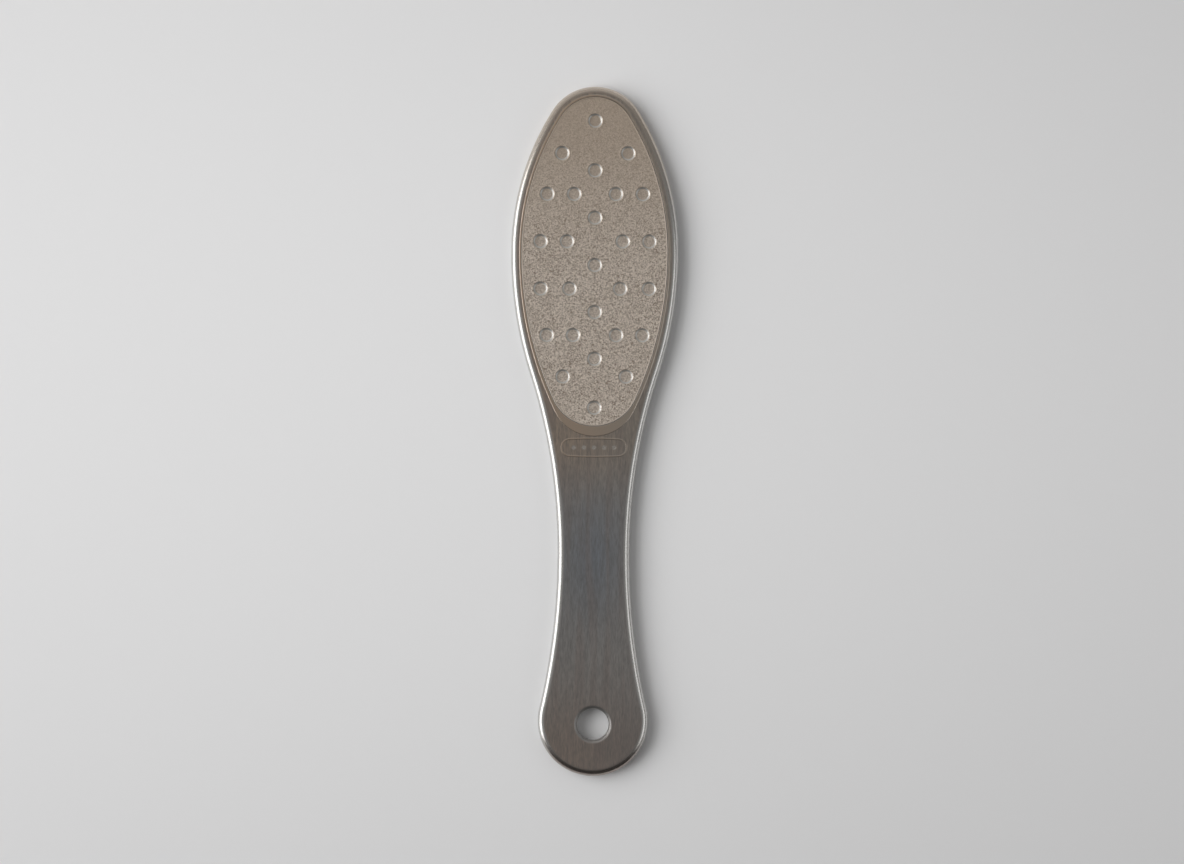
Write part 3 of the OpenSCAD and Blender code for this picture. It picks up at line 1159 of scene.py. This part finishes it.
@dataclass
class FilePlate(Half):
    """One file plate: a thin blank with pressed dimples, a plated edge bead and a gritted face."""

    outline: Outline
    seed: int
    grit_height: float
    clump: float
    across: int = 160
    along: int = 360
    face_drop: float = 0.1 * MM
    border: float = 0.62 * MM
    bead: float = 0.09 * MM
    bead_from: float = 0.4 * MM
    bead_to: float = 0.2 * MM
    edge_round: float = 0.14 * MM
    wall_inset: float = 0.1 * MM
    wall_run: float = 0.85 * MM
    wall_gain: float = 4
    wall_smooth: float = 0.9
    floor_smooth: float = 0.4
    clump_share: float = 0.4
    lip_height: float = 0.07 * MM
    lip_width: float = 0.4 * MM
    cut_radius: float = 2.85 * MM
    fill_reach: float = 4.275 * MM
    dimple_steps: int = 44
    dimple_rings: tuple[float, ...] = in_mm(
        2.7, 2.55, 2.42, 2.34, 2.26, 2.18, 2.1, 2.02, 1.94, 1.86, 1.78, 1.7, 1.62, 1.54, 1.46,
        1.36, 1.2, 0.95, 0.65, 0.3, 0.0,
    )
    ring_insets: tuple[float, ...] = in_mm(
        0.5, 0.44, 0.38, 0.32, 0.26, 0.2, 0.14, 0.09, 0.05, 0.02, 0.0,
    )
    sharp: float = 60

    def blank(self, bm: BMesh) -> dict[tuple[float, float], float]:
        """Fits a square grid into the outline, and draws rings round it out to the edge.

        Args:
            bm: The mesh to add to.

        Returns:
            Distance from the edge of each place on a ring.
        """
        previous, insets = self.border, {}
        low, high = self.outline.low_y(previous), self.outline.high_y(previous)
        bmesh.ops.create_grid(bm, x_segments=self.across, y_segments=self.along, size=1.0)
        for vert in bm.verts:
            u, v = vert.co.x, vert.co.y
            across, along = u * math.sqrt(1 - v * v / 2), v * math.sqrt(1 - u * u / 2)
            chord = math.sqrt(max(1 - along * along, 0.0))
            y = low + (high - low) * (1 + along) / 2
            half_width, _ = self.outline.edge_at(y, previous)
            vert.co = (half_width * across / chord if chord > TOUCH else 0.0, y, 0.0)
        for ring in self.ring_insets:
            for vert in draw_out(bm):
                _, out = self.outline.edge_at(vert.co.y, previous)
                side = math.copysign(1.0, vert.co.x)
                vert.co += Vector((side * out.x, out.y, 0.0)) * (previous - ring)
                insets[tuple(vert.co.xy)] = ring
            previous = ring
        return insets

    def away(self, place: Vector) -> float:
        """Gives the distance from a place to the middle of the nearest dimple."""
        x, y = place.xy
        return math.sqrt(min((x - px) ** 2 + (y - py) ** 2 for px, py in self.dimple_places))

    def set_dimples(self, bm: BMesh) -> None:
        """Cuts the grid away under each dimple, and sets a disc of fine rings there.

        Args:
            bm: The flat blank.
        """
        cut, rings = self.cut_radius, [(ring, 0.0) for ring in self.dimple_rings]
        near = [f for f in bm.faces if any(self.away(v.co) < cut for v in f.verts)]
        bmesh.ops.delete(bm, geom=near, context="FACES")
        stamp(bm, rings, self.dimple_steps, self.dimple_places)
        open_edges = (e for e in bm.edges if e.is_boundary)
        edges = [e for e in open_edges if self.away(e.verts[0].co) < self.fill_reach]
        bmesh.ops.triangle_fill(bm, use_beauty=True, edges=edges, normal=UP)

    def pressing(self, place: Vector) -> float:
        """Gives how far the face is pressed down at a place.

        Args:
            place: The place.

        Returns:
            The drop below the flat, with a slight rise round each dimple.
        """
        away, radius = self.away(place), self.dimples.width / 2
        wall = ease((radius - self.wall_inset - away) / self.wall_run)
        rim = self.lip_height * ease(1 - abs(away - radius) / self.lip_width)
        return self.dimples.depth * wall - rim

    def edge_profile(self, inset: float) -> float:
        """Gives the height of the plated bead and rounded corner near the edge.

        Args:
            inset: Distance from the edge.

        Returns:
            The height above the gritted face.
        """
        bead = self.bead * ease((self.bead_from - inset) / (self.bead_from - self.bead_to))
        corner = max(0.0, self.edge_round - inset)
        return bead - (self.edge_round - math.sqrt(self.edge_round**2 - corner**2))

    def shape_face(self, bm: BMesh, insets: dict[tuple[float, float], float]) -> None:
        """Raises the face to its height, with its dimples, edge bead and grit.

        Args:
            bm: The flat face.
            insets: Distance from the edge of places on a ring. Others lie inside the border.
        """
        grit_mask, rubbed_mask = (bm.verts.layers.float[name] for name in PLATE_MASKS)
        flat = self.stack.plate_top - self.face_drop
        rng = random.Random(self.seed)
        for vert in bm.verts:
            inset = insets.get(tuple(vert.co.xy), self.border)
            drop = self.pressing(vert.co)
            depth = drop / self.dimples.depth
            inside = ease(depth * self.wall_gain)
            wall = inside * ease((1 - depth) * self.wall_gain)
            grit = ease((inset - self.bead_to) / (self.border - self.bead_to))
            grit *= 1 - self.wall_smooth * wall - self.floor_smooth * (1 - wall) * inside
            vert[grit_mask], vert[rubbed_mask] = grit, wall
            clumps = noise.noise(Vector((*vert.co.xy, self.seed * MM)) / self.clump)
            speck = rng.uniform(-1.0, 1.0)
            teeth = self.clump_share * clumps + (1 - self.clump_share) * speck
            edge = self.edge_profile(inset) if inset < self.border else 0.0
            vert.co.z = flat + edge - drop + grit * self.grit_height * teeth

    def underside(self, bm: BMesh) -> None:
        """Draws the edge down and closes the underside, with a bulge under each dimple.

        Args:
            bm: The mesh with the shaped face.
        """
        low = self.stack.plate_top - self.stack.plate_thickness
        for vert in draw_out(bm):
            vert.co.z = low
        self.press(bm, self.stack.plate_thickness, low)
        fill_level(bm, low)

    def build(self, name: str) -> bpy.types.Object:
        """Builds the plate.

        Args:
            name: The object's name.

        Returns:
            The object.
        """
        bm = bmesh.new()
        for mask in PLATE_MASKS:
            bm.verts.layers.float.new(mask)
        insets = self.blank(bm)
        self.set_dimples(bm)
        self.shape_face(bm, insets)
        self.underside(bm)
        return self.finish(bm, name, self.sharp)


# Setting


@dataclass(frozen=True)
class Lamp:
    """Flat soft lamp that faces the tool.

    Azimuth is counted in degrees from +X towards +Y, and elevation above the floor.
    """

    name: str
    azimuth: float
    elevation: float
    distance: float
    width: float
    height: float
    glow: float
    in_metal: bool = True

    def hang(self) -> None:
        """Hangs the lamp, with the power that gives its face the wanted glow."""
        data = bpy.data.lights.new(self.name, "AREA")
        data.shape = "RECTANGLE"
        data.size, data.size_y = self.width, self.height
        data.energy = self.glow * math.pi * self.width * self.height
        lamp = link(self.name, data)
        turn, rise = math.radians(self.azimuth), math.radians(self.elevation)
        flat = math.cos(rise)
        out = Vector((flat * math.cos(turn), flat * math.sin(turn), math.sin(rise)))
        lamp.location = out * self.distance
        lamp.rotation_euler = out.to_track_quat("Z", "Y").to_euler()
        lamp.visible_camera = False
        lamp.visible_glossy = self.in_metal


@dataclass(frozen=True)
class Sky:
    """The dim surroundings: fair above the head, dark past the handle and low on the right.

    Each band is a part of the direction, from where its effect starts to where it is full.
    """

    tone: Colour = (1.0, 0.99, 0.975)
    overhead: float = 0.205
    above_head: float = 0.3
    head_band: Band = (0.1, 0.8)
    head_rise: Band = (0.95, 0.4)
    left_fair: float = 0.06
    left_band: Band = (-0.1, -0.7)
    end_dim: float = 0.3
    end_band: Band = (-0.2, -0.75)
    right_dim: float = 0.6
    right_band: Band = (0.25, 0.8)
    right_rise: Band = (0.8, 0.35)

    def paint(self) -> None:
        """Paints the world."""
        world = bpy.data.worlds.new("studio")
        world.use_nodes = True
        bpy.context.scene.world = world
        bench = Bench(world.node_tree)
        x, y, z = bench.axes(bench.add("ShaderNodeTexCoord").outputs["Generated"])
        head = bench.times(bench.range(y, *self.head_band), bench.range(z, *self.head_rise))
        left = bench.range(x, *self.left_band)
        right = bench.times(bench.range(x, *self.right_band), bench.range(z, *self.right_rise))
        glow = bench.total(self.overhead, (head, self.above_head), (left, self.left_fair))
        end = bench.range(y, *self.end_band)
        for dark, least in ((end, self.end_dim), (right, self.right_dim)):
            glow = bench.times(glow, bench.range(dark, 0.0, 1.0, 1.0, least, "LINEAR"))
        background = world.node_tree.nodes["Background"]
        bench.put(self.tone, background.inputs["Color"])
        bench.put(glow, background.inputs["Strength"])


@dataclass(frozen=True)
class Studio:
    """Floor, soft light and camera, set as in the photograph."""

    view_width: float = 353.0 * MM
    distance: float = 1.15
    roll: float = 0.24
    aim: tuple[float, float] = (-0.6 * MM, -0.2 * MM)
    sensor: float = 36.0
    clip_end: float = 20.0
    floor_size: float = 4.0
    sky: Sky = Sky()
    lamps: tuple[Lamp, ...] = (
        Lamp("window", 181, 18, 1.1, 1.04, 0.56, 2.25),
        Lamp("window_fill", 172, 30, 1.8, 2.5, 1.0, 2.62, False),
        Lamp("upper_window", 168, 48, 1.8, 1.3, 0.8, 2.45, False),
        Lamp("board", -15, 29, 0.7, 0.56, 0.25, 0.95),
    )

    def camera(self) -> None:
        """Hangs the camera straight above the tool."""
        data = bpy.data.cameras.new("camera")
        data.sensor_width = self.sensor
        data.lens = self.sensor * self.distance / self.view_width
        data.clip_end = self.clip_end
        camera = link("camera", data)
        camera.location = (*self.aim, self.distance)
        camera.rotation_euler = (0.0, 0.0, math.radians(self.roll))
        bpy.context.scene.camera = camera

    def floor(self) -> None:
        """Lays the pale floor."""
        bm = bmesh.new()
        bmesh.ops.create_grid(bm, x_segments=1, y_segments=1, size=self.floor_size / 2)
        floor = link("floor", new_mesh(bm, "floor"))
        floor.data.materials.append(FLOOR.make())

    def build(self) -> None:
        """Sets up the whole studio."""
        self.camera()
        self.floor()
        self.sky.paint()
        for lamp in self.lamps:
            lamp.hang()
        bpy.context.scene.view_settings.view_transform = "Standard"


@dataclass(frozen=True)
class Plating:
    """One side's file surface: its finish, and its teeth in the mesh."""

    finish: FilePlating
    seed: int
    grit_height: float
    clump: float


PLATINGS = {
    Side.FRONT: Plating(COARSE_FILE, 7, 0.030 * MM, 0.9 * MM),
    Side.BACK: Plating(FINE_FILE, 19, 0.012 * MM, 0.6 * MM),
}


@dataclass
class FootFile:
    """The whole tool: it draws the outlines, builds the pieces and dresses them."""

    plate_margin: float = 3.2 * MM
    plate_length: float = 97.7 * MM
    plate_end_radius: float = 13.3 * MM
    ledge: float = 0.3 * MM
    frame_drop: float = 3.1 * MM
    frame_end_radius: float = 13 * MM
    hole_from_end: float = 15.4 * MM
    stack: Stack = field(default_factory=Stack)
    dimples: Dimples = field(default_factory=Dimples)
    materials: dict[str, bpy.types.Material] = field(default_factory=dict)

    def dress(self, piece: bpy.types.Object, finish: Finish, node: str) -> None:
        """Gives a piece its material, puts it under the root body and hides the CAD node that it
        stands for.

        Args:
            piece: The piece.
            finish: Its finish.
            node: Name of the CAD node.
        """
        piece.data.materials.append(self.materials[finish.slot])
        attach(piece, "root")
        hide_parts(node)

    def build(self) -> None:
        """Builds both halves and finishes the carried-over nodes."""
        low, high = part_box("front_shell")
        seam_z = low.z
        shape = ToolShape(high.y - low.y, high.x - low.x)
        plate_low = shape.length / 2 - self.plate_margin - self.plate_length
        plate = shape.on_head(self.plate_margin, plate_low, self.plate_end_radius)
        frame_low = plate_low - self.frame_drop
        raised = shape.on_head(self.stack.face + self.ledge, frame_low, self.frame_end_radius)
        half_width = shape.head_width / 2 - self.plate_margin
        places = self.dimples.places(plate_low, self.plate_length, half_width)
        hole_y = self.hole_from_end - shape.length / 2
        finishes = (SHELL_STEEL, COARSE_FILE, FINE_FILE, CORE_PLASTIC, BOND_FILM)
        self.materials = {finish.slot: finish.make() for finish in finishes}
        for side in Side:
            word, plating = side.name.lower(), PLATINGS[side]
            common = (self.stack, self.dimples, places, side, seam_z)
            shell = HalfShell(*common, shape, plate, raised, hole_y)
            self.dress(shell.build(f"{word}_shell_skin"), SHELL_STEEL, f"{word}_shell")
            blank = FilePlate(*common, plate, plating.seed, plating.grit_height, plating.clump)
            skin = blank.build(f"{word}_file_plate_skin")
            self.dress(skin, plating.finish, f"{word}_file_plate")
        for node, finish in (("core", CORE_PLASTIC), ("front_bond_film", BOND_FILM),
                             ("back_bond_film", BOND_FILM)):
            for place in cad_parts[node].material_slots:
                place.material = self.materials[finish.slot]
            LOG.info("%s: carried over in %s", node, finish.slot)


def main() -> None:
    """Builds the studio and the tool."""
    logging.basicConfig(level=logging.INFO, format="%(name)s: %(message)s")
    Studio().build()
    FootFile().build()


if __name__ == "__main__":
    main()
